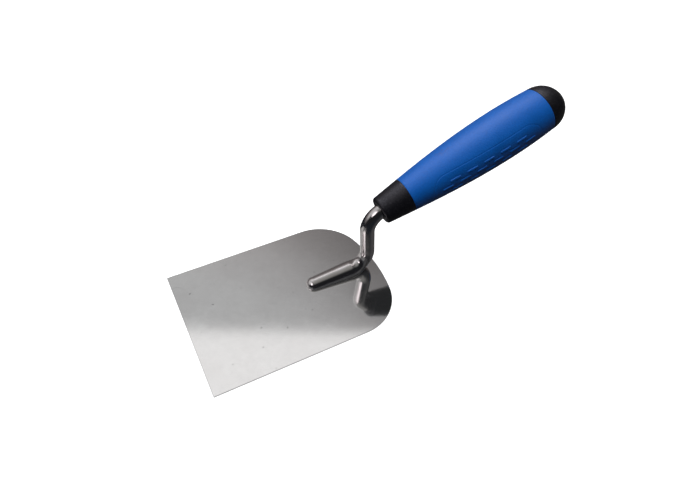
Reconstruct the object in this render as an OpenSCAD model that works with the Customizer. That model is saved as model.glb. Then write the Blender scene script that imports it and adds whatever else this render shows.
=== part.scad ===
// Hand trowel with a cranked neck and a two-component handle.
// The origin is the middle of the blade's sole. +X runs from the blade to the handle, +Z is up.

/* [Blade] */
// Length of the blade along its centre line
blade_l = 139.5; // [110:0.5:180]
// Width of the blade between its two straight sides
blade_w = 100; // [80:1:130]
// Thickness of the stainless sheet
blade_t = 1; // [0.8:0.1:1.6]
// Radius of the shallow arch across the rear edge
rear_arc_r = 111; // [90:1:160]
// Radius of the two rear corners
rear_corner_r = 33; // [20:1:40]

/* [Neck] */
// Diameter of the round bar that the neck is bent from
rod_d = 10.1; // [8:0.1:12]
// Radius of the leg's rounded tip, which is forged flat underneath
leg_tip_r = 5.75; // [5:0.05:6.5]
// Radius of the leg's rounded top where the lower bend starts
leg_heel_r = 7; // [6:0.1:8]
// Length of the leg, from the tip's centre to the lower bend
leg_l = 28; // [25:1:40]
// Rise of the leg's axis in degrees
leg_slope = 2.5; // [1.5:0.1:3.5]
// Height of the leg's axis over the blade where it meets the upright
leg_rise = 1.5; // [1:0.1:2]
// Distance from the blade's front edge to the foot of the upright
foot_x = 133.3; // [115:0.1:150]
// Forward lean of the upright in degrees
upright_lean = 4.9; // [0:0.1:12]
// Centre-line radius of the bend at the blade
lower_bend_r = 14; // [10:0.5:15]
// Centre-line radius of the bend at the handle
upper_bend_r = 15; // [10:0.5:16]

/* [Handle] */
// Rise of the handle's axis in degrees
handle_tilt = 20.5; // [10:0.5:35]
// Distance from the blade's front edge to the start of the handle's axis
handle_x = 139.2; // [130:0.1:150]
// Height of that point above the sole
handle_z = 51.2; // [45:0.1:60]
// Length of the collar
collar_l = 20; // [15:1:30]
// Diameter of the collar at its front, without the rounded edge
collar_front_d = 19.2; // [17:0.2:24]
// Radius of the collar's rounded front edge
collar_edge_r = 2.2; // [1:0.1:3]
// Length of the soft grip between its two seams
grip_l = 108; // [90:1:130]
// Largest diameter of the grip
grip_d = 34.6; // [30:0.2:40]
// Distance along the axis to the largest diameter
widest_s = 97; // [80:1:105]
// Diameter at the seam between the grip and the end cap
butt_d = 32; // [28:0.2:34]
// Length of the domed end cap
cap_l = 17.2; // [12:0.2:24]

/* [Inside the handle] */
// Thickness of the soft grip over the core
sleeve_t = 2.6; // [2:0.1:4]
// Height of the ribs that key the grip to the core
rib_h = 1.2; // [0.6:0.1:1.6]
// Number of ribs round the core
rib_count = 6; // [4:2:8]
// Radius of the core's nose, inside the collar
nose_r = 7.6; // [7:0.1:8]
// Length of the tang inside the handle
tang_l = 76; // [60:1:90]
// Diameter of the drawn-down end of the tang
tang_d = 8; // [6:0.2:9]
// Distance across the tang's two flats
tang_flat_w = 6; // [5:0.2:7]
// Radius of the core's bore, which the end cap plugs
core_bore_r = 10.5; // [9:0.1:11]
// Length of the end cap's plug
plug_l = 10; // [6:1:14]
// Wall of the end cap
cap_wall = 2.8; // [2:0.1:4]

/* [Hidden] */
$fn = 72;

rod_r = rod_d / 2;
// The straight lengths are a hair thinner than the bends and dip into them, so that they join cleanly.
bar_r = rod_r - 0.01;
dip = 0.05;
butt_s = collar_l + grip_l;
tip_s = butt_s + cap_l;
collar_front_s = -0.6;
collar_wall = 4.6;
nose_s = collar_front_s + collar_wall;
entry_s = 1.6;
entry_gap = 0.4;
snap_h = 0.5;
snap_l = 1.6;
collar_snap_s = 12;
plug_snap_at = 0.7;
plug_snap_s = butt_s - plug_snap_at * plug_l;
// The core's cavity starts this far behind the tang and widens slightly towards its mouth.
cavity_gap = 8;
cavity_s = tang_l + cavity_gap;
cavity_draft = 1;
// Ribs stop short of both seams.
rib_w = 2;
rib_end_gap = 4;
nose_root = 2;
// The tang steps down to its thinner end, which has a groove all round and two flats.
tang_step_at = 0.42;
tang_step_l = 4;
tang_groove_w = 3;
tang_groove_depth = 0.8;
tang_flat_l = 18;
tang_flat_gap = 4;
tang_chamfer = 1;
// Powers of the end cap's dome, which is a little squarer than an ellipse
dome_length_power = 2.15;
dome_width_power = 1.9;
over = 1;
nugget_r = 1.2;
nugget_h = 0.6;
nugget_count = 3;
slices = 24;
collar_slices = 8;
steel = [0.72, 0.71, 0.70];
bright = [0.80, 0.79, 0.80];
black = [0.06, 0.06, 0.065];
blue = [0.08, 0.30, 0.68];

// ---- Neck centre line, in the X-Z plane, measured from the blade's front edge ----
upright_a = 90 + upright_lean;

function heading(a) = [cos(a), sin(a)];
function left_of(a) = [-sin(a), cos(a)];

// Where the line through p at angle a meets the line through q at angle b
function crossing(p, a, q, b) =
    p + heading(a) * ((q - p).x * sin(b) - (q - p).y * cos(b)) / sin(b - a);

handle_p = [handle_x, handle_z];
knee_top = crossing([foot_x, blade_t], upright_a, handle_p, handle_tilt);
knee_low = crossing([foot_x, blade_t], upright_a, [foot_x, blade_t + leg_rise], leg_slope);
low_run = lower_bend_r * tan((upright_a - leg_slope) / 2);
top_run = upper_bend_r * tan((upright_a - handle_tilt) / 2);
leg_end = knee_low - heading(leg_slope) * low_run;
leg_start = leg_end - heading(leg_slope) * leg_l;
upright_start = knee_low + heading(upright_a) * low_run;
upright_end = knee_top - heading(upright_a) * top_run;
tang_start_s = (knee_top - handle_p) * heading(handle_tilt) + top_run;

module from_front() {
    translate([-blade_l / 2, 0, 0]) children();
}

// Places things along the handle: local Z is the handle's axis
module on_handle() {
    from_front() translate([handle_x, 0, handle_z]) rotate([0, 90 - handle_tilt, 0]) children();
}

module straight_bar(p, a, length) {
    translate([p.x, 0, p.y]) rotate([0, 90 - a, 0])
        translate([0, 0, -dip]) cylinder(r = bar_r, h = length + 2 * dip);
}

// A bend of the bar, from angle a0 over the given sweep, about centre c
module bend(c, radius, a0, sweep) {
    translate([c.x, 0, c.y]) rotate([90, 0, 0]) rotate([0, 0, a0])
        rotate_extrude(angle = sweep) translate([radius, 0]) circle(r = rod_r);
}

// ---- Blade ----
module blade_outline() {
    arc_x = blade_l - rear_arc_r;
    corner_y = blade_w / 2 - rear_corner_r;
    corner_x = arc_x + sqrt(pow(rear_arc_r - rear_corner_r, 2) - pow(corner_y, 2));
    translate([0, -blade_w / 2]) square([corner_x, blade_w]);
    for (side = [-1, 1]) translate([corner_x, side * corner_y]) circle(r = rear_corner_r);
    intersection() {
        translate([arc_x, 0]) circle(r = rear_arc_r);
        polygon([[arc_x, 0], [arc_x, 0] + 2 * [corner_x - arc_x, -corner_y],
                 [arc_x, 0] + 2 * [corner_x - arc_x, corner_y]]);
    }
}

module blade() {
    color(steel) from_front() difference() {
        linear_extrude(height = blade_t) blade_outline();
        nuggets();
    }
}

// The resistance welds between the leg's flat and the blade, half in each
module nuggets() {
    for (i = [0 : nugget_count - 1])
        translate([leg_start.x + leg_l * i / (nugget_count - 1), 0, blade_t - nugget_h / 2])
            cylinder(r = nugget_r, h = nugget_h);
}

module weld_nuggets() {
    color(steel) from_front() nuggets();
}

// ---- Shank: leg, upright and tang, one bar ----
// The leg is a drop-shaped body. Its rounded heel takes the bar's lower bend.
module leg() {
    nose = [for (a = [-90 : 10 : 0]) leg_tip_r * heading(a)];
    heel = [for (a = [0 : 15 : 90]) [0, leg_l] + leg_heel_r * heading(a)];
    translate([leg_start.x, 0, leg_start.y]) rotate([0, 90 - leg_slope, 0])
        rotate_extrude() polygon(concat(nose, heel));
}

// The tang, along the handle's axis. The core is moulded round it.
module tang() {
    full_l = tang_step_at * tang_l;
    thin_r = tang_d / 2;
    groove_r = thin_r - tang_groove_depth;
    groove_s = full_l + 2 * tang_step_l;
    difference() {
        rotate_extrude() polygon([
            [0, tang_start_s - dip], [bar_r, tang_start_s - dip], [bar_r, full_l],
            [thin_r, full_l + tang_step_l], [thin_r, groove_s],
            [groove_r, groove_s], [groove_r, groove_s + tang_groove_w],
            [thin_r, groove_s + tang_groove_w],
            [thin_r, tang_l - tang_chamfer], [thin_r - tang_chamfer, tang_l], [0, tang_l]]);
        for (side = [-1, 1])
            translate([0, side * (tang_flat_w / 2 + rod_r), tang_l - tang_flat_gap - tang_flat_l / 2])
                cube([rod_d, rod_d, tang_flat_l], center = true);
    }
}

// Grinds the flat that sits on the blade, and takes out what the welds fill
module seated() {
    difference() {
        children();
        translate([0, -blade_w / 2, blade_t - 2 * rod_d]) cube([blade_l, blade_w, 2 * rod_d]);
        nuggets();
    }
}

module shank() {
    color(bright) {
        from_front() {
            seated() leg();
            seated() bend(leg_end + left_of(leg_slope) * lower_bend_r, lower_bend_r,
                          leg_slope - 90, upright_a - leg_slope);
            straight_bar(upright_start, upright_a, norm(upright_end - upright_start));
            bend(upright_end - left_of(upright_a) * upper_bend_r, upper_bend_r,
                 handle_tilt + 90, upright_a - handle_tilt);
        }
        on_handle() tang();
    }
}

// ---- Handle profiles, as radius against distance along the axis ----
function grip_r(s) = s <= widest_s
    ? collar_front_d / 2 + (grip_d - collar_front_d) / 2 * sin(90 * s / widest_s)
    : grip_d / 2 - (grip_d - butt_d) / 2 * pow((s - widest_s) / (butt_s - widest_s), 2);

function dome_point(a, r, length) =
    [r * pow(1 - pow(sin(a), dome_length_power), 1 / dome_width_power), length * sin(a)];

function grip_points(s0, s1, inset) =
    [for (i = [0 : slices]) let (s = s0 + (s1 - s0) * i / slices) [grip_r(s) - inset, s]];

// ---- Handle parts ----
module front_collar() {
    edge_r = grip_r(collar_front_s + collar_edge_r) - collar_edge_r;
    edge = [for (a = [-90 : 10 : 0])
        [edge_r, collar_front_s + collar_edge_r] + collar_edge_r * heading(a)];
    outside = [for (i = [1 : collar_slices]) let (s = collar_front_s + collar_edge_r
        + (collar_l - collar_front_s - collar_edge_r) * i / collar_slices) [grip_r(s), s]];
    inside = [
        [nose_r, collar_l], [nose_r, collar_snap_s + snap_l], [nose_r - snap_h, collar_snap_s + snap_l],
        [nose_r - snap_h, collar_snap_s], [nose_r, collar_snap_s],
        [nose_r, nose_s], [rod_r, nose_s], [rod_r, entry_s], [rod_r + entry_gap, collar_front_s]];
    color(black) on_handle() rotate_extrude() polygon(concat(edge, outside, inside));
}

// The core's outer form, ribs included, which the soft grip is moulded over
module core_form() {
    rotate_extrude() polygon(concat([[0, collar_l]],
        grip_points(collar_l, butt_s, sleeve_t), [[0, butt_s]]));
    intersection() {
        rotate_extrude() polygon(concat([[0, collar_l + rib_end_gap]],
            grip_points(collar_l + rib_end_gap, butt_s - rib_end_gap, sleeve_t - rib_h),
            [[0, butt_s - rib_end_gap]]));
        for (i = [0 : rib_count / 2 - 1]) rotate([0, 0, 360 * (i + 0.5) / rib_count])
            translate([-grip_d / 2, -rib_w / 2, 0]) cube([grip_d, rib_w, tip_s]);
    }
}

module handle_core() {
    color(black) on_handle() difference() {
        union() {
            core_form();
            rotate_extrude() polygon([
                [0, nose_s], [nose_r, nose_s], [nose_r, collar_snap_s],
                [nose_r - snap_h, collar_snap_s], [nose_r - snap_h, collar_snap_s + snap_l],
                [nose_r, collar_snap_s + snap_l],
                [nose_r, collar_l + nose_root], [0, collar_l + nose_root]]);
        }
        tang();
        rotate_extrude() polygon([
            [0, cavity_s], [core_bore_r - cavity_draft, cavity_s], [core_bore_r, butt_s - plug_l],
            [core_bore_r, plug_snap_s], [core_bore_r + snap_h, plug_snap_s],
            [core_bore_r + snap_h, plug_snap_s + snap_l], [core_bore_r, plug_snap_s + snap_l],
            [core_bore_r, butt_s + over], [0, butt_s + over]]);
    }
}

module grip_sleeve() {
    color(blue) on_handle() difference() {
        rotate_extrude() polygon(concat([[0, collar_l]],
            grip_points(collar_l, butt_s, 0), [[0, butt_s]]));
        core_form();
    }
}

module end_cap() {
    dome = [for (a = [0 : 5 : 90]) [0, butt_s] + dome_point(a, butt_d / 2, cap_l)];
    hollow = [for (a = [80 : -10 : 0])
        [0, butt_s] + dome_point(a, core_bore_r - cap_wall, cap_l - cap_wall)];
    plug = [
        [core_bore_r - cap_wall, butt_s - plug_l], [core_bore_r, butt_s - plug_l],
        [core_bore_r, plug_snap_s], [core_bore_r + snap_h, plug_snap_s],
        [core_bore_r + snap_h, plug_snap_s + snap_l], [core_bore_r, plug_snap_s + snap_l],
        [core_bore_r, butt_s]];
    color(black) on_handle() rotate_extrude()
        polygon(concat(dome, [[0, tip_s - cap_wall]], hollow, plug));
}

blade();
weld_nuggets();
shank();
front_collar();
handle_core();
grip_sleeve();
end_cap();
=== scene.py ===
"""Palette knife with a trowel-shaped blade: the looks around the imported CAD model, in metres."""
import math

import bmesh
import bpy
from mathutils import Matrix, Vector


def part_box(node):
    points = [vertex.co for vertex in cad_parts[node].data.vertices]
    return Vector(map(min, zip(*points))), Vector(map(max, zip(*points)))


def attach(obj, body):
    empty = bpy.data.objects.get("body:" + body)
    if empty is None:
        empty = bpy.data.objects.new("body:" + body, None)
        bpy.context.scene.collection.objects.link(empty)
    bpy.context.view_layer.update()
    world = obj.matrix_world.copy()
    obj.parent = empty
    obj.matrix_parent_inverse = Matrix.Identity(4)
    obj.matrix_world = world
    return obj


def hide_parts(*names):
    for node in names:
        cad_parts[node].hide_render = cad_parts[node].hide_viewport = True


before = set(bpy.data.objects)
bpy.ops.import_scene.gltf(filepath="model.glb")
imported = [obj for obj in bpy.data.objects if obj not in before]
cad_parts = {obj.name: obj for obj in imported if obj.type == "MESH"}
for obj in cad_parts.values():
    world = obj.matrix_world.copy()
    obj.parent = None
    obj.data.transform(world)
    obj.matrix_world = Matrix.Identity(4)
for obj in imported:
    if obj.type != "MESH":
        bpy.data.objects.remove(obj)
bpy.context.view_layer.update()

MM = 0.001
SHARP_A = math.radians(35)

# ---- Places, from the frame ----
blade_low, blade_high = (Vector(corner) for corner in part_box("blade"))
BLADE_L = blade_high.x - blade_low.x
BLADE_W = blade_high.y - blade_low.y
BLADE_TOP = blade_high.z
FRONT_X = blade_low.x

# ---- Driving dimensions of the parts, as the CAD model has them ----
# Points in the plane of symmetry are (x, z), and s is the distance from HANDLE_P along the handle's axis.
REAR_ARC_R = 111 * MM
REAR_CORNER_R = 33 * MM
FRONT_CORNER_R = 0.5 * MM
BLADE_EDGE_R = 0.2 * MM
ROD_R = 5.05 * MM
LEG_TIP_R = 5.75 * MM
LEG_HEEL_R = 7 * MM
LEG_L = 28 * MM
LEG_A = math.radians(2.5)
LEG_RISE = 1.5 * MM
FOOT_X = FRONT_X + 133.3 * MM
UPRIGHT_A = math.radians(94.9)
LOWER_BEND_R = 14 * MM
UPPER_BEND_R = 15 * MM
HANDLE_A = math.radians(20.5)
HANDLE_P = Vector((FRONT_X + 139.2 * MM, 51.2 * MM))
COLLAR_FRONT = -0.6 * MM
COLLAR_L = 20 * MM
COLLAR_FRONT_R = 9.6 * MM
COLLAR_EDGE_R = 2.2 * MM
MOUTH_S = 1.6 * MM
MOUTH_FLARE = 0.4 * MM
SEAM_R = 0.35 * MM
NOSE_R = 7.6 * MM
NOSE_S = 4 * MM
GRIP_R = 17.3 * MM
WIDEST_S = 97 * MM
BUTT_R = 16 * MM
BUTT_S = 128 * MM
CAP_L = 17.2 * MM
DOME_FULLNESS, DOME_ROOT = 2.15, 1.9
SLEEVE_T = 2.6 * MM
RIB_H = 1.2 * MM
RIB_COUNT = 6
RIB_HALF_W = 1 * MM
RIB_END = 4 * MM
TANG_L = 76 * MM
TANG_R = 4 * MM
TANG_STEP_S = 0.42 * TANG_L
TANG_TAPER_L = 4 * MM
TANG_GROOVE_S = TANG_STEP_S + 8 * MM
TANG_GROOVE_L = 3 * MM
TANG_GROOVE_DEPTH = 0.8 * MM
TANG_CHAMFER = 1 * MM
CORE_BORE_R = 10.5 * MM
PLUG_L = 10 * MM
CAP_WALL = 2.8 * MM


# ---- Mesh helpers ----
def mesh_object(name, verts, faces):
    """A smooth-shaded mesh with its sharper edges kept, all normals outward."""
    mesh = bpy.data.meshes.new(name)
    mesh.from_pydata([tuple(v) for v in verts], [], faces)
    bm = bmesh.new()
    bm.from_mesh(mesh)
    bmesh.ops.recalc_face_normals(bm, faces=bm.faces)
    bm.to_mesh(mesh)
    bm.free()
    mesh.shade_smooth()
    mesh.set_sharp_from_angle(angle=SHARP_A)
    obj = bpy.data.objects.new(name, mesh)
    bpy.context.scene.collection.objects.link(obj)
    return obj


def ring_faces(a, b, count):
    """Quads between two rings of vertices that start at indices a and b."""
    return [(a + i, a + (i + 1) % count, b + (i + 1) % count, b + i) for i in range(count)]


def add_piece(obj, material, slot, *nodes):
    """Gives a new piece its material and its place in the model."""
    obj.data.materials.append(material)
    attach(obj, "root")
    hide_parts(*nodes)


def ease(x):
    """A smooth step from 0 to 1."""
    x = min(max(x, 0.0), 1.0)
    return x * x * (3 - 2 * x)


def spaced(start, end, steps):
    """Evenly spaced values from start, without the end itself."""
    return [start + (end - start) * i / steps for i in range(steps)]


def arc(centre, radius, start, end, steps):
    """Points on an arc in a plane, both ends included; angles in radians."""
    turns = spaced(start, end, steps) + [end]
    return [Vector(centre) + radius * Vector((math.cos(t), math.sin(t))) for t in turns]


def even_turns(count):
    """Angles all the way round, without the last, which is the first again."""
    return [2 * math.pi * k / count for k in range(count)]


# ---- Material helpers ----
class Tree:
    """A short way to write a node tree."""

    def __init__(self, tree):
        self.tree = tree

    def add(self, kind, inputs=None, **settings):
        node = self.tree.nodes.new(kind)
        for key, value in settings.items():
            setattr(node, key, value)
        for key, value in (inputs or {}).items():
            self.put(value, node.inputs[key])
        return node

    def put(self, value, socket):
        if isinstance(value, bpy.types.NodeSocket):
            self.tree.links.new(value, socket)
        else:
            socket.default_value = value

    def maths(self, operation, a, b=0.0):
        return self.add("ShaderNodeMath", {0: a, 1: b}, operation=operation).outputs["Value"]

    def ramp(self, value, low, high, out_low=0.0, out_high=1.0, kind="LINEAR"):
        values = {"Value": value, "From Min": low, "From Max": high}
        values.update({"To Min": out_low, "To Max": out_high})
        node = self.add("ShaderNodeMapRange", values, clamp=True, interpolation_type=kind)
        return node.outputs["Result"]

    def edge(self, value, low, high):
        """A soft step from 0 to 1; it falls instead where low is over high."""
        if low < high:
            return self.ramp(value, low, high, kind="SMOOTHSTEP")
        return self.ramp(value, high, low, 1.0, 0.0, kind="SMOOTHSTEP")

    def mix(self, factor, a, b):
        node = self.add("ShaderNodeMix", data_type="RGBA")
        for socket, value in ((0, factor), (6, a), (7, b)):
            self.put(value, node.inputs[socket])
        return node.outputs[2]

    def vector(self, operation, a, b, output="Vector"):
        return self.add("ShaderNodeVectorMath", {0: a, 1: b}, operation=operation).outputs[output]

    def dot(self, vector, direction):
        return self.vector("DOT_PRODUCT", vector, direction, "Value")

    def scaled(self, vector, factors):
        """A vector or colour with each of its channels multiplied."""
        return self.vector("MULTIPLY", vector, factors)

    def colours(self, value, stops):
        """A colour ramp from a list of (place, colour)."""
        node = self.add("ShaderNodeValToRGB", {"Fac": value})
        elements = node.color_ramp.elements
        while len(elements) < len(stops):
            elements.new(0.5)
        for element, (place, colour) in zip(elements, stops):
            element.position, element.color = place, colour
        return node.outputs["Color"]


class Nodes(Tree):
    """A material on the Principled shader, in object coordinates: a noise scale counts per metre."""

    def __init__(self, name):
        self.material = bpy.data.materials.new(name)
        self.material.use_nodes = True
        super().__init__(self.material.node_tree)
        self.shader = self.tree.nodes["Principled BSDF"]
        self.coords = self.add("ShaderNodeTexCoord").outputs["Object"]

    def stretched(self, scale):
        """Object coordinates scaled on each axis."""
        return self.add("ShaderNodeMapping", {"Vector": self.coords, "Scale": scale}).outputs["Vector"]

    def noise(self, scale, detail=2.0, rough=0.5, where=None):
        values = {"Vector": where or self.coords, "Scale": scale}
        values.update({"Detail": detail, "Roughness": rough})
        return self.add("ShaderNodeTexNoise", values).outputs["Fac"]

    def bump(self, height, distance, strength=1.0, normal=None):
        values = {"Height": height, "Distance": distance, "Strength": strength}
        if normal is not None:
            values["Normal"] = normal
        return self.add("ShaderNodeBump", values).outputs["Normal"]

    def finish(self, **sockets):
        for key, value in sockets.items():
            self.put(value, self.shader.inputs[key.replace("_", " ")])
        return self.material


def rgb(r, g, b):
    return (r, g, b, 1.0)


def blade_steel():
    """Satin rolled stainless: a blurred mirror with a fine grain, faint scuffs and a few specks."""
    n = Nodes("blade_steel")
    grain = n.noise(2600, detail=3, rough=0.6)
    cloud = n.noise(38, detail=4, rough=0.55)
    rolled = n.noise(1.0, detail=3, where=n.stretched((60, 1500, 60)))
    rough = n.ramp(n.maths("ADD", cloud, n.maths("MULTIPLY", rolled, 0.6)), 0.5, 1.1, 0.05, 0.09)
    tint = n.mix(n.ramp(cloud, 0.35, 0.7), rgb(0.665, 0.66, 0.65), rgb(0.70, 0.70, 0.69))
    mottle = n.maths("ADD", n.noise(750, detail=3, rough=0.7), n.noise(210, detail=3, rough=0.6))
    tint = n.mix(n.ramp(mottle, 0.75, 1.25, 0.0, 0.17), tint, rgb(0.5, 0.495, 0.49))
    specks = n.edge(n.noise(330, detail=1, rough=0.4), 0.765, 0.79)
    tint = n.mix(n.maths("MULTIPLY", specks, 0.45), tint, rgb(0.2, 0.2, 0.2))

    # A broken, hair-thin scratch in an arc near the far front corner.
    scratch_centre, scratch_r = (FRONT_X + 1 * MM, 30 * MM, BLADE_TOP), 9 * MM
    from_centre = n.vector("DISTANCE", n.coords, scratch_centre, "Value")
    off_scratch = n.maths("ABSOLUTE", n.maths("SUBTRACT", from_centre, scratch_r))
    scratch = n.maths("MULTIPLY", n.edge(off_scratch, 0.35 * MM, 0.1 * MM), n.ramp(cloud, 0.45, 0.6))
    tint = n.mix(n.maths("MULTIPLY", scratch, 0.35), tint, rgb(0.35, 0.35, 0.35))

    # The weak blue sheen is the haze of handling marks, which show where the mirror is dark.
    normal = n.bump(rolled, 0.004 * MM, 0.2, n.bump(grain, 0.004 * MM, 0.3))
    n.finish(Sheen_Weight=0.12, Sheen_Roughness=0.5, Sheen_Tint=rgb(0.35, 0.65, 1.0))
    return n.finish(Base_Color=tint, Metallic=0.96, Roughness=rough, Normal=normal)


def neck_steel():
    """Polished bar: dark and bright reflections, with faint lines left by the polishing wheel."""
    n = Nodes("neck_steel")
    lines = n.noise(1.0, detail=3, where=n.stretched((120, 1800, 900)))
    cloud = n.noise(160, detail=3)
    rough = n.ramp(n.maths("ADD", cloud, n.maths("MULTIPLY", lines, 0.5)), 0.45, 1.0, 0.12, 0.2)
    tint = n.mix(n.ramp(cloud, 0.35, 0.7), rgb(0.66, 0.63, 0.62), rgb(0.74, 0.71, 0.71))
    normal = n.bump(cloud, 0.04 * MM, 0.2, n.bump(lines, 0.01 * MM, 0.3))
    return n.finish(Base_Color=tint, Metallic=1.0, Roughness=rough, Normal=normal)


def weld_steel():
    """Dull, slightly discoloured weld metal."""
    n = Nodes("weld_steel")
    cloud = n.noise(900, detail=3)
    tint = n.mix(cloud, rgb(0.42, 0.38, 0.34), rgb(0.55, 0.53, 0.52))
    return n.finish(Base_Color=tint, Metallic=1.0, Roughness=n.ramp(cloud, 0.3, 0.7, 0.4, 0.6))


def black_plastic(name, level, rough_low, rough_high):
    """Hard black plastic with a fine moulded texture, slightly polished patches and painted glints in
    lighter flecks on its pebbles.
    """
    n = Nodes(name)
    texture = n.noise(5200, detail=2, rough=0.6)
    pebbles = n.noise(950, detail=1)
    handled = n.noise(130, detail=4)
    plain = rgb(level, level * 0.98, level * 1.3)
    worn = rgb(level * 1.4, level * 1.35, level * 1.7)
    # Lighter flecks on the pebbles are painted glints: base colour that stands in for the sparkle of the
    # moulded grain.
    painted_glint = rgb(level * 4, level * 4, level * 4.6)
    tint = n.mix(n.ramp(handled, 0.4, 0.7), plain, worn)
    tint = n.mix(n.ramp(pebbles, 0.5, 0.68, 0.0, 0.5), tint, painted_glint)
    rough = n.ramp(handled, 0.35, 0.7, rough_high, rough_low)
    rough = n.maths("SUBTRACT", rough, n.ramp(pebbles, 0.45, 0.7, 0.0, 0.12))
    normal = n.bump(texture, 0.03 * MM, 0.5, n.bump(pebbles, 0.35 * MM, 0.5))
    return n.finish(Base_Color=tint, Roughness=rough, Specular_Tint=rgb(0.93, 0.9, 1.0), Normal=normal)


def soft_grip():
    """Blue thermoplastic rubber: matte, finely grained, a little handled and faintly smudged."""
    n = Nodes("soft_grip")
    texture = n.noise(4300, detail=2, rough=0.65)
    handled = n.noise(90, detail=4, rough=0.6)
    tint = n.mix(n.ramp(handled, 0.35, 0.7), rgb(0.003, 0.15, 0.63), rgb(0.005, 0.168, 0.70))
    flecks = n.noise(950, detail=1)
    tint = n.mix(n.ramp(flecks, 0.35, 0.65, 0.0, 0.22), tint, rgb(0.002, 0.085, 0.42))

    # A faint smudge on top, as an ellipsoid that is longest along X.
    smudge_at = handle_point(55 * MM, 13 * MM, 0.15)
    per_metre = (90, 260, 160)
    offset = n.scaled(n.vector("SUBTRACT", n.coords, smudge_at), per_metre)
    reach = n.vector("LENGTH", offset, (0, 0, 0), "Value")
    smudge = n.maths("MULTIPLY", n.edge(reach, 1.0, 0.2), n.ramp(n.noise(420, detail=4), 0.4, 0.62))
    tint = n.mix(n.maths("MULTIPLY", smudge, 0.45), tint, rgb(0.07, 0.075, 0.2))

    rough = n.ramp(handled, 0.35, 0.7, 0.46, 0.54)
    normal = n.bump(texture, 0.04 * MM, 0.6, n.bump(flecks, 0.3 * MM, 0.4))
    n.finish(Sheen_Weight=0.08, Sheen_Roughness=0.4)
    return n.finish(Base_Color=tint, Roughness=rough, Normal=normal)


# ---- Blade ----
def blade_outline():
    """The sheet's outline, anticlockwise from its front corner on the +Y side."""
    corner_y = BLADE_W / 2 - REAR_CORNER_R
    arc_x = FRONT_X + BLADE_L - REAR_ARC_R
    reach = math.sqrt((REAR_ARC_R - REAR_CORNER_R) ** 2 - corner_y ** 2)
    meet = math.atan2(corner_y, reach)
    corner_x = arc_x + reach
    front = FRONT_X + FRONT_CORNER_R
    side = BLADE_W / 2 - FRONT_CORNER_R
    points = arc((front, side), FRONT_CORNER_R, math.pi / 2, math.pi, 5)
    points += arc((front, -side), FRONT_CORNER_R, math.pi, 1.5 * math.pi, 5)
    points += arc((corner_x, -corner_y), REAR_CORNER_R, -math.pi / 2, -meet, 40)
    points += arc((arc_x, 0), REAR_ARC_R, -meet, meet, 40)[1:-1]
    points += arc((corner_x, corner_y), REAR_CORNER_R, meet, math.pi / 2, 40)
    return points


def inset(points, distance):
    """The closed outline moved inward by a small distance."""
    moved = []
    for i, p in enumerate(points):
        along = (points[(i + 1) % len(points)] - points[i - 1]).normalized()
        moved.append(p + distance * Vector((-along.y, along.x)))
    return moved


def make_blade():
    """The sheet, with its edges broken by a small radius."""
    outline = blade_outline()
    turns = spaced(0, math.pi / 2, 4) + [math.pi / 2]
    lower = [(BLADE_EDGE_R * (1 - math.sin(t)), BLADE_EDGE_R * (1 - math.cos(t))) for t in turns]
    upper = [(d, BLADE_TOP - z) for d, z in reversed(lower)]
    verts = []
    for d, z in lower + upper:
        verts += [(p.x, p.y, z) for p in inset(outline, d)]
    count = len(outline)
    rings = len(lower + upper)
    faces = [tuple(reversed(range(count))), tuple(range((rings - 1) * count, rings * count))]
    for i in range(rings - 1):
        faces += ring_faces(i * count, (i + 1) * count, count)
    blade = mesh_object("blade_sheet", verts, faces)
    for face in blade.data.polygons:
        face.use_smooth = len(face.vertices) == 4
    return blade


# ---- Neck ----
def heading(a):
    """The direction at angle a, as (x, z) in the plane of symmetry."""
    return Vector((math.cos(a), math.sin(a)))


def left_of(a):
    """The direction a quarter turn on from angle a."""
    return Vector((-math.sin(a), math.cos(a)))


def crossing(p, a, q, b):
    """Where the line through p at angle a meets the line through q at angle b."""
    gap = q - p
    return p + heading(a) * (gap.x * math.sin(b) - gap.y * math.cos(b)) / math.sin(b - a)


def tang_profile(start):
    """(s, radius) along the tang: its step down, its ring groove and its chamfered end."""
    groove_end = TANG_GROOVE_S + TANG_GROOVE_L
    groove_r = TANG_R - TANG_GROOVE_DEPTH
    stepped = [(start, ROD_R), (TANG_STEP_S, ROD_R), (TANG_STEP_S + TANG_TAPER_L, TANG_R)]
    groove = [(TANG_GROOVE_S, TANG_R), (TANG_GROOVE_S, groove_r),
              (groove_end, groove_r), (groove_end, TANG_R)]
    return stepped + groove + [(TANG_L - TANG_CHAMFER, TANG_R), (TANG_L, TANG_R - TANG_CHAMFER)]


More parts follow.
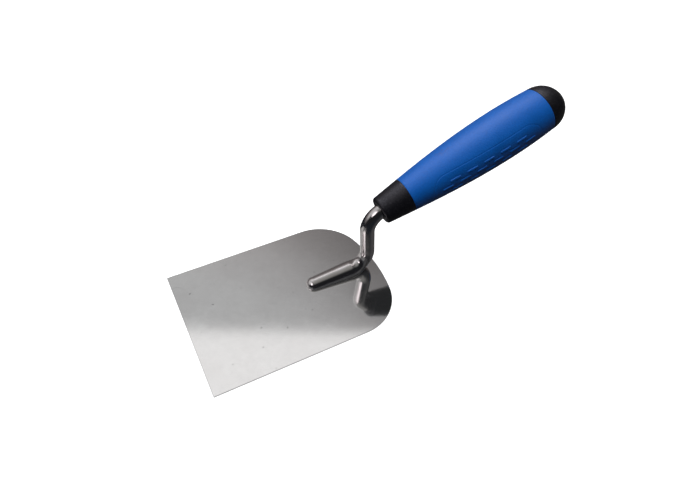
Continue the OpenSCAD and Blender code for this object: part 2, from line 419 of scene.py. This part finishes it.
def neck_path():
    """(point, angle, radius) along the bar's centre line in the X-Z plane, from tip to tang."""
    foot = Vector((FOOT_X, BLADE_TOP))
    knee_low = crossing(foot, UPRIGHT_A, foot + Vector((0, LEG_RISE)), LEG_A)
    knee_top = crossing(foot, UPRIGHT_A, HANDLE_P, HANDLE_A)
    low_run = LOWER_BEND_R * math.tan((UPRIGHT_A - LEG_A) / 2)
    top_run = UPPER_BEND_R * math.tan((UPRIGHT_A - HANDLE_A) / 2)
    leg_end = knee_low - heading(LEG_A) * low_run
    leg_start = leg_end - heading(LEG_A) * LEG_L
    path = []
    nose_steps = 14
    for i in range(1, nose_steps):
        t = math.pi / 2 * i / nose_steps
        point = leg_start - heading(LEG_A) * LEG_TIP_R * math.cos(t)
        path.append((point, LEG_A, LEG_TIP_R * math.sin(t)))
    for f in spaced(0, 1, 30):
        path.append((leg_start.lerp(leg_end, f), LEG_A, LEG_TIP_R + (LEG_HEEL_R - LEG_TIP_R) * f))
    bend_steps = 44
    low_centre = leg_end + left_of(LEG_A) * LOWER_BEND_R
    # The heel is down to the bar's own size a little past the middle of the bend.
    heel_taper = 1.9
    for i, a in enumerate(spaced(LEG_A, UPRIGHT_A, bend_steps)):
        r = ROD_R + (LEG_HEEL_R - ROD_R) * (1 - ease(heel_taper * i / bend_steps))
        path.append((low_centre - left_of(a) * LOWER_BEND_R, a, r))
    up_start = knee_low + heading(UPRIGHT_A) * low_run
    up_end = knee_top - heading(UPRIGHT_A) * top_run
    for f in spaced(0, 1, 24):
        path.append((up_start.lerp(up_end, f), UPRIGHT_A, ROD_R))
    top_centre = up_end - left_of(UPRIGHT_A) * UPPER_BEND_R
    for a in spaced(UPRIGHT_A, HANDLE_A, bend_steps):
        path.append((top_centre + left_of(a) * UPPER_BEND_R, a, ROD_R))
    neck_end = (knee_top - HANDLE_P).dot(heading(HANDLE_A)) + top_run
    path += [(HANDLE_P + heading(HANDLE_A) * s, HANDLE_A, r) for s, r in tang_profile(neck_end)]
    return path


def make_neck():
    """The whole bar as one swept surface, flat where the leg sits on the blade."""
    path = neck_path()
    sides = 64
    nose_gap = 0.05 * MM
    verts = []
    for point, a, r in path:
        for t in even_turns(sides):
            p = point + left_of(a) * (r * math.cos(t))
            verts.append((p.x, r * math.sin(t), max(p.y, BLADE_TOP)))
    faces = []
    for i in range(len(path) - 1):
        faces += ring_faces(i * sides, (i + 1) * sides, sides)
    last = (len(path) - 1) * sides
    nose = path[0][0]
    verts.append((nose.x - nose_gap, 0, nose.y))
    faces += [(k, (k + 1) % sides, len(verts) - 1) for k in range(sides)]
    faces.append(tuple(range(last, last + sides)))
    return mesh_object("neck_bar", verts, faces)


# ---- Handle ----
def handle_point(s, r, turn):
    """A point s along the handle's axis and r from it; turn 0 faces up and -90 degrees faces -Y."""
    flat = HANDLE_P + heading(HANDLE_A) * s + left_of(HANDLE_A) * (r * math.cos(turn))
    return (flat.x, r * math.sin(turn), flat.y)


def grip_r(s):
    """The handle's outer radius at s, from the collar to the cap's seam."""
    if s <= WIDEST_S:
        return COLLAR_FRONT_R + (GRIP_R - COLLAR_FRONT_R) * math.sin(math.pi / 2 * s / WIDEST_S)
    return GRIP_R - (GRIP_R - BUTT_R) * ((s - WIDEST_S) / (BUTT_S - WIDEST_S)) ** 2


def dome_point(turn, r, length):
    """A point on the cap's dome, as radius and distance from the seam."""
    return (r * (1 - math.sin(turn) ** DOME_FULLNESS) ** (1 / DOME_ROOT), length * math.sin(turn))


def lathe(name, profile, turns):
    """Turns a closed profile of (s, r) points about the handle's axis; r may be a function of the turn."""
    on_axis = 0.0001 * MM
    rings, verts = [], []
    for s, r in profile:
        if not callable(r) and r < on_axis:
            rings.append((len(verts), 1))
            verts.append(handle_point(s, 0, 0))
            continue
        rings.append((len(verts), len(turns)))
        verts += [handle_point(s, r(turn) if callable(r) else r, turn) for turn in turns]
    faces = []
    count = len(turns)
    for (a, size_a), (b, size_b) in zip(rings, rings[1:] + rings[:1]):
        if size_a == 1 and size_b == 1:
            continue
        if size_a == 1:
            faces += [(a, b + (i + 1) % count, b + i) for i in range(count)]
        elif size_b == 1:
            faces += [(a + i, a + (i + 1) % count, b) for i in range(count)]
        else:
            faces += ring_faces(a, b, count)
    return mesh_object(name, verts, faces)


def rounded(centre_s, centre_r, start, end):
    """A small arc in (s, r) that rounds an edge at a seam; angles in degrees, 0 towards +s."""
    points = arc((centre_s, centre_r), SEAM_R, math.radians(start), math.radians(end), 6)
    return [(p.x, p.y) for p in points]


def make_collar():
    """The black collar, with its rounded front, its mouth round the neck and its socket for the core."""
    front_r = grip_r(COLLAR_FRONT + COLLAR_EDGE_R) - COLLAR_EDGE_R
    edge = arc((COLLAR_FRONT + COLLAR_EDGE_R, front_r), COLLAR_EDGE_R, math.pi, math.pi / 2, 14)
    profile = [(COLLAR_FRONT, ROD_R + MOUTH_FLARE)] + [(p.x, p.y) for p in edge]
    start = COLLAR_FRONT + COLLAR_EDGE_R
    end = COLLAR_L - SEAM_R
    profile += [(s, grip_r(s)) for s in spaced(start, end, 16)[1:]]
    profile += rounded(end, grip_r(COLLAR_L) - SEAM_R, 90, 0)
    profile += [(COLLAR_L, NOSE_R), (NOSE_S, NOSE_R), (NOSE_S, ROD_R), (MOUTH_S, ROD_R)]
    return lathe("front_collar_shell", profile, even_turns(96))


# ---- Relief on the grip: a plain stadium outline round a regular pattern of plain bars ----
RELIEF_TURN = math.radians(-90)
RELIEF_S0, RELIEF_S1 = 34 * MM, 117 * MM
RELIEF_HALF_W = 11.3 * MM
RELIEF_MARGIN = 2 * MM
# Just under the grip's smallest radius there, so that the fine turns cover the whole relief
RELIEF_MIN_R = 13.5 * MM
GROOVE_W = 0.9 * MM
GROOVE_DEPTH = 0.15 * MM
BAR_L, BAR_W, BAR_H = 8 * MM, 1.6 * MM, 0.36 * MM
BAR_STEP = 12.6 * MM
BAR_ROWS = (5.0 * MM, 1.0 * MM, -3.0 * MM)
BAR_SLOPE = 0.22 * MM
BAR_CLEARANCE = 0.8 * RELIEF_HALF_W


def pill_distance(u, v, half_l, half_w):
    """Signed distance to a pill: a bar with round ends, centred on the origin."""
    return math.hypot(max(abs(u) - (half_l - half_w), 0.0), v) - half_w


def relief(s, turn):
    """Height of the moulded relief over the grip's plain surface."""
    u = s - (RELIEF_S0 + RELIEF_S1) / 2
    v = (turn - RELIEF_TURN) * grip_r(s)
    half_l = (RELIEF_S1 - RELIEF_S0) / 2
    if abs(u) > half_l + GROOVE_W or abs(v) > RELIEF_HALF_W + GROOVE_W:
        return 0.0
    rim = abs(pill_distance(u, v, half_l, RELIEF_HALF_W))
    height = -GROOVE_DEPTH * ease((GROOVE_W / 2 - rim) / (GROOVE_W / 2))
    for row, centre_v in enumerate(BAR_ROWS):
        shift = (row % 2) * BAR_STEP / 2
        centre_u = round((u - shift) / BAR_STEP) * BAR_STEP + shift
        if abs(centre_u) > half_l - BAR_CLEARANCE:
            continue
        d = pill_distance(u - centre_u, v - centre_v, BAR_L / 2, BAR_W / 2)
        height = max(height, BAR_H * ease(-d / BAR_SLOPE)) if d < 0 else height
    return height


def rib_inner_r(s, turn):
    """The sleeve's inner radius, which follows the core and its ribs."""
    inner = grip_r(s) - SLEEVE_T
    if not COLLAR_L + RIB_END < s < BUTT_S - RIB_END:
        return inner
    pitch = 2 * math.pi / RIB_COUNT
    off = abs((turn / pitch - 0.5) - round(turn / pitch - 0.5)) * pitch
    return inner + (RIB_H if off * inner < RIB_HALF_W else 0.0)


def grip_turns():
    """Angles round the grip, close together over the relief."""
    half = (RELIEF_HALF_W + GROOVE_W) / RELIEF_MIN_R
    first, last = RELIEF_TURN - half, RELIEF_TURN + half
    return spaced(first, last, 170) + spaced(last, first + 2 * math.pi, 84)


def make_grip():
    """The blue sleeve: its outside with the relief, and its inside over the core's ribs."""
    start, end = COLLAR_L, BUTT_S
    relief_start, relief_end = RELIEF_S0 - RELIEF_MARGIN, RELIEF_S1 + RELIEF_MARGIN
    stations = spaced(start + SEAM_R, relief_start, 12)
    stations += spaced(relief_start, relief_end, 400)
    stations += spaced(relief_end, end - SEAM_R, 10)
    profile = rounded(start + SEAM_R, grip_r(start) - SEAM_R, 180, 90)[:-1]
    profile += [(s, lambda turn, s=s: grip_r(s) + relief(s, turn)) for s in stations]
    profile += rounded(end - SEAM_R, grip_r(end) - SEAM_R, 90, 0)
    profile += [(s, lambda turn, s=s: rib_inner_r(s, turn)) for s in spaced(end, start, 40) + [start]]
    return lathe("soft_grip_sleeve", profile, grip_turns())


def make_cap():
    """The black cap: its dome, the hollow behind it and the plug that fills the core's bore."""
    quarter = math.pi / 2
    hollow_r = CORE_BORE_R - CAP_WALL
    seam = rounded(BUTT_S + SEAM_R, BUTT_R - SEAM_R, 180, 90)[:-1]
    outer = [dome_point(turn, BUTT_R, CAP_L) for turn in spaced(0, quarter, 40) + [quarter]]
    outer = [(BUTT_S + s, max(r, 0.0)) for r, s in outer if s > SEAM_R]
    hollow = [dome_point(turn, hollow_r, CAP_L - CAP_WALL) for turn in spaced(quarter, 0, 16) + [0]]
    hollow = [(BUTT_S + s, max(r, 0.0)) for r, s in hollow]
    plug = [(BUTT_S - PLUG_L, hollow_r), (BUTT_S - PLUG_L, CORE_BORE_R), (BUTT_S, CORE_BORE_R)]
    profile = seam + outer + hollow + plug
    return lathe("end_cap_shell", profile, even_turns(128))


# ---- Studio ----
def make_stage():
    """A pale floor that curves up into a wall all round."""
    verts, faces = [], []
    sides, flat_r, bend_r, wall_h = 96, 1.6, 0.9, 1.6
    profile = [(flat_r, 0.0)]
    for t in spaced(0, math.pi / 2, 16)[1:] + [math.pi / 2]:
        profile.append((flat_r + bend_r * math.sin(t), bend_r * (1 - math.cos(t))))
    profile.append((flat_r + bend_r, bend_r + wall_h))
    for r, z in profile:
        verts += [(r * math.cos(t), r * math.sin(t), z) for t in even_turns(sides)]
    faces.append(tuple(range(sides)))
    for i in range(len(profile) - 1):
        faces += ring_faces(i * sides, (i + 1) * sides, sides)
    stage = mesh_object("studio_floor", verts, faces)
    n = Nodes("studio_floor")
    n.finish(Base_Color=rgb(0.92, 0.92, 0.92), Roughness=0.9,
             Emission_Color=rgb(1, 1, 1), Emission_Strength=0.9)
    stage.data.materials.append(n.material)
    stage.visible_glossy = False
    stage.visible_diffuse = False


# Directions on the sky, as unit vectors, and the greys of the wall from its dark side to its light side
UP, AWAY, EAST = (0, 0, 1), (0, 1, 0), (1, 0, 0)
WALL_LIGHT_SIDE = (-0.428, 0.247, 0.870)
STRIP_ALONG, STRIP_ACROSS = (0.454, 0.891, 0), (0.891, -0.454, 0)
WINDOW, SIDE_WINDOW = (-0.683, -0.183, 0.707), (-0.662, 0.165, 0.731)
WALL_GREYS = [(0.0, 0.08), (0.3, 0.13), (0.5, 0.15), (0.6, 0.18),
              (0.64, 0.27), (0.7, 0.47), (0.76, 0.585), (1.0, 0.60)]


def make_world():
    """A dim grey room with a ceiling strip light behind the tool and two windows on its left."""
    world = bpy.data.worlds.new("studio")
    bpy.context.scene.world = world
    world.use_nodes = True
    t = Tree(world.node_tree)
    sky = t.add("ShaderNodeTexCoord").outputs["Generated"]
    height, away = t.dot(sky, UP), t.dot(sky, AWAY)

    # The wall behind the tool is lightest high on the left, darker and browner to the right.
    stops = [(place, rgb(grey * (1.12 - 0.14 * grey), grey, grey)) for place, grey in WALL_GREYS]
    wall = t.colours(t.dot(sky, WALL_LIGHT_SIDE), stops)
    room = t.mix(t.edge(height, 0.7, 1.0), rgb(0.015, 0.015, 0.017), rgb(0.33, 0.318, 0.305))
    base = t.mix(t.edge(away, -0.1, 0.35), room, wall)
    east = t.edge(t.dot(sky, EAST), 0.0, 0.6)
    below = t.mix(east, rgb(0.016, 0.018, 0.023), rgb(0.075, 0.072, 0.074))
    base = t.mix(t.edge(height, 0.05, -0.15), base, below)

    # The strip light is a rectangle on the ceiling, seen as slopes along and across it.
    up = t.maths("MAXIMUM", height, 0.05)
    along = t.maths("DIVIDE", t.dot(sky, STRIP_ALONG), up)
    across = t.maths("ABSOLUTE", t.maths("DIVIDE", t.dot(sky, STRIP_ACROSS), up))
    cool = t.maths("MULTIPLY", t.edge(along, 1.1, 0.74), 0.8)
    base = t.mix(cool, base, t.scaled(base, (0.935, 0.985, 1.0)))
    strip = t.maths("MULTIPLY", t.edge(along, 0.47, 0.53), t.edge(along, 0.712, 0.672))
    strip = t.maths("MULTIPLY", strip, t.edge(across, 0.9, 0.5))
    base = t.mix(strip, base, rgb(1.16, 1.145, 1.155))

    # Each window is a round soft patch, sized by the cosine of the angle from its middle.
    base = t.mix(t.edge(t.dot(sky, WINDOW), 0.962, 0.985), base, rgb(2.1, 1.98, 2.05))
    base = t.mix(t.edge(t.dot(sky, SIDE_WINDOW), 0.975, 0.99), base, rgb(0.95, 0.92, 0.95))
    t.put(base, t.tree.nodes["Background"].inputs["Color"])


def softbox(name, place, aim, size, radiance, colour=(1, 1, 1)):
    """A rectangular light; its power follows from how bright its face should be."""
    light = bpy.data.lights.new(name, "AREA")
    light.shape = "RECTANGLE"
    light.size, light.size_y = size
    light.energy = radiance * math.pi * size[0] * size[1]
    light.color = colour
    obj = bpy.data.objects.new(name, light)
    bpy.context.scene.collection.objects.link(obj)
    back = (Vector(place) - Vector(aim)).normalized()
    upright = abs(back.z) > 0.999
    right = Vector((1, 0, 0)) if upright else Vector((back.y, -back.x, 0)).normalized()
    up = back.cross(right)
    turn = Matrix((right, up, back)).transposed().to_4x4()
    obj.matrix_world = Matrix.Translation(place) @ turn
    obj.visible_camera = False
    return obj


def shine_on(light, name, pieces):
    """Makes a light a reflection only, seen by a few pieces."""
    light.visible_diffuse = False
    collection = bpy.data.collections.new(name)
    for piece in pieces:
        collection.objects.link(bpy.data.objects[piece])
    light.light_linking.receiver_collection = collection


HANDLE_SHELLS = ("front_collar_shell", "soft_grip_sleeve", "end_cap_shell")
WALL_CARD_Z = 0.75
WALL_CARD_SIZE = (4.2, 1.25)
# (x, y, brightness) of the card on each side of the room
WALL_CARDS = {"near": (0, -1.9, 0.06), "far": (0, 1.9, 0.24),
              "left": (-1.9, 0, 0.24), "right": (1.9, 0, 0.24)}


def make_lights():
    """A soft key overhead, a highlight for the handle alone, and cards that only the blade reflects."""
    key = softbox("key", (-0.45, 0.04, 1.4), (0.1, 0, 0.05), (1.0, 1.0), 3.4, (0.94, 0.97, 1.0))
    # The steel would mirror the key as a white patch.
    key.visible_glossy = False
    highlight = softbox("handle_highlight", (0.22, 0.55, 1.15), (0.18, 0, 0.08), (0.9, 0.9), 2.2,
                        (0.96, 0.96, 1.0))
    shine_on(highlight, "handle_only", HANDLE_SHELLS)
    under = softbox("light_table", (0.06, 0, -0.5), (0.06, 0, 0), (1.4, 1.4), 1.0)
    cards = [softbox(side + "_wall", (x, y, WALL_CARD_Z), (0, 0, 0.4), WALL_CARD_SIZE, grey)
             for side, (x, y, grey) in WALL_CARDS.items()]
    for card in cards + [under]:
        shine_on(card, card.name + "_shows_in", ("blade_sheet",))
    # The floor doesn't shade the light table: only the blade does.
    under.light_linking.blocker_collection = under.light_linking.receiver_collection


CAMERA_YAW, CAMERA_PITCH = 0.4489, 0.7374
CAMERA_PLACE = Vector((FRONT_X - 25.4 * MM, -223.2 * MM, 308.3 * MM))
CAMERA_LENS = 29.0725714
CAMERA_SHIFT = (0.0671429, -0.0667143)


def make_camera():
    """A view from the front left: down at about 42 degrees, turned about 26 degrees."""
    camera = bpy.data.cameras.new("camera")
    camera.sensor_width = 36.0
    camera.lens = CAMERA_LENS
    camera.shift_x, camera.shift_y = CAMERA_SHIFT
    camera.clip_start, camera.clip_end = 0.01, 20
    obj = bpy.data.objects.new("camera", camera)
    bpy.context.scene.collection.objects.link(obj)
    flat, drop = math.cos(CAMERA_PITCH), math.sin(CAMERA_PITCH)
    forward = Vector((math.sin(CAMERA_YAW) * flat, math.cos(CAMERA_YAW) * flat, -drop))
    right = Vector((math.cos(CAMERA_YAW), -math.sin(CAMERA_YAW), 0))
    up = right.cross(forward)
    turn = Matrix((right, up, -forward)).transposed().to_4x4()
    obj.matrix_world = Matrix.Translation(CAMERA_PLACE) @ turn
    bpy.context.scene.camera = obj


def dress_cad_nodes():
    """Hidden pieces keep their CAD shape and get their own materials."""
    core_plastic = black_plastic("core_plastic", 0.02, 0.5, 0.65)
    hidden = {"weld_nuggets": weld_steel(), "handle_core": core_plastic}
    for name, material in hidden.items():
        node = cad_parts[name]
        node.data.materials.clear()
        node.data.materials.append(material)


make_camera()
make_stage()
make_world()
dress_cad_nodes()
shell_black = black_plastic("shell_plastic", 0.008, 0.36, 0.46)
add_piece(make_blade(), blade_steel(), "blade_steel", "blade")
add_piece(make_neck(), neck_steel(), "neck_steel", "shank")
add_piece(make_collar(), shell_black, "black_plastic", "front_collar")
add_piece(make_grip(), soft_grip(), "blue_soft_grip", "grip_sleeve")
add_piece(make_cap(), shell_black, "black_plastic", "end_cap")
make_lights()
bpy.context.scene.view_settings.view_transform = "Standard"
